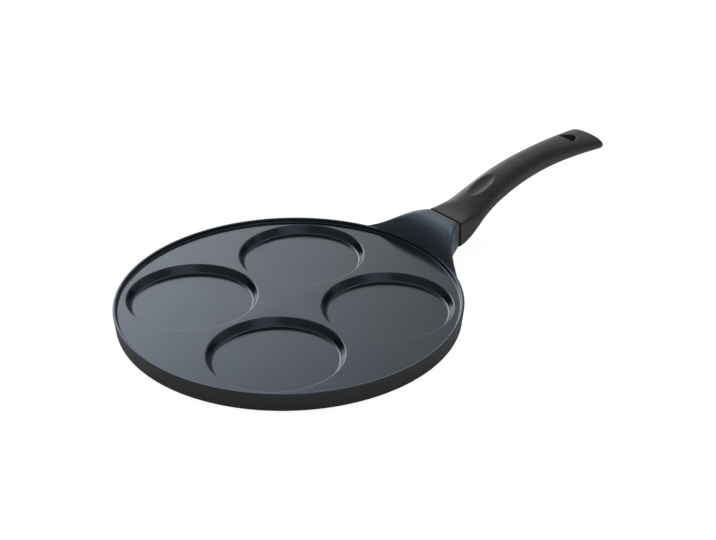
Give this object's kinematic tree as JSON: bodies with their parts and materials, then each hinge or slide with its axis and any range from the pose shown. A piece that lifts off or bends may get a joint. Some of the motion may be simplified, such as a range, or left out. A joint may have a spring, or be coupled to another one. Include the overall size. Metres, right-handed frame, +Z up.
{
  "type": "pancake pan",
  "caption": "Round pancake pan: shallow round wells in a thick coated plate with a low rim, a flared cast neck, and a curved moulded handle with thumb rest and hanging hole.",
  "frame": {"origin": "centre of the underside of the base, on the steel base plate", "axes": "+X from the pan's centre along the handle, +Z up, out of the wells"},
  "size_m": [0.469, 0.27, 0.0635],
  "materials": {
    "non_stick_coating": "cast aluminium under a dark, semi-gloss non-stick coating",
    "base_steel": "brushed stainless base plate",
    "gasket_rubber": "black silicone",
    "handle_moulding": "black moulding, matt and soft to the touch",
    "screw_steel": "plain stainless"
  },
  "bodies": {
    "root": {"pan_body": "non_stick_coating", "induction_disc": "base_steel", "heat_gasket": "gasket_rubber", "handle_grip": "handle_moulding", "handle_screw": "screw_steel", "flat_washer": "screw_steel", "spring_washer": "screw_steel"}
  },
  "joints": []
}
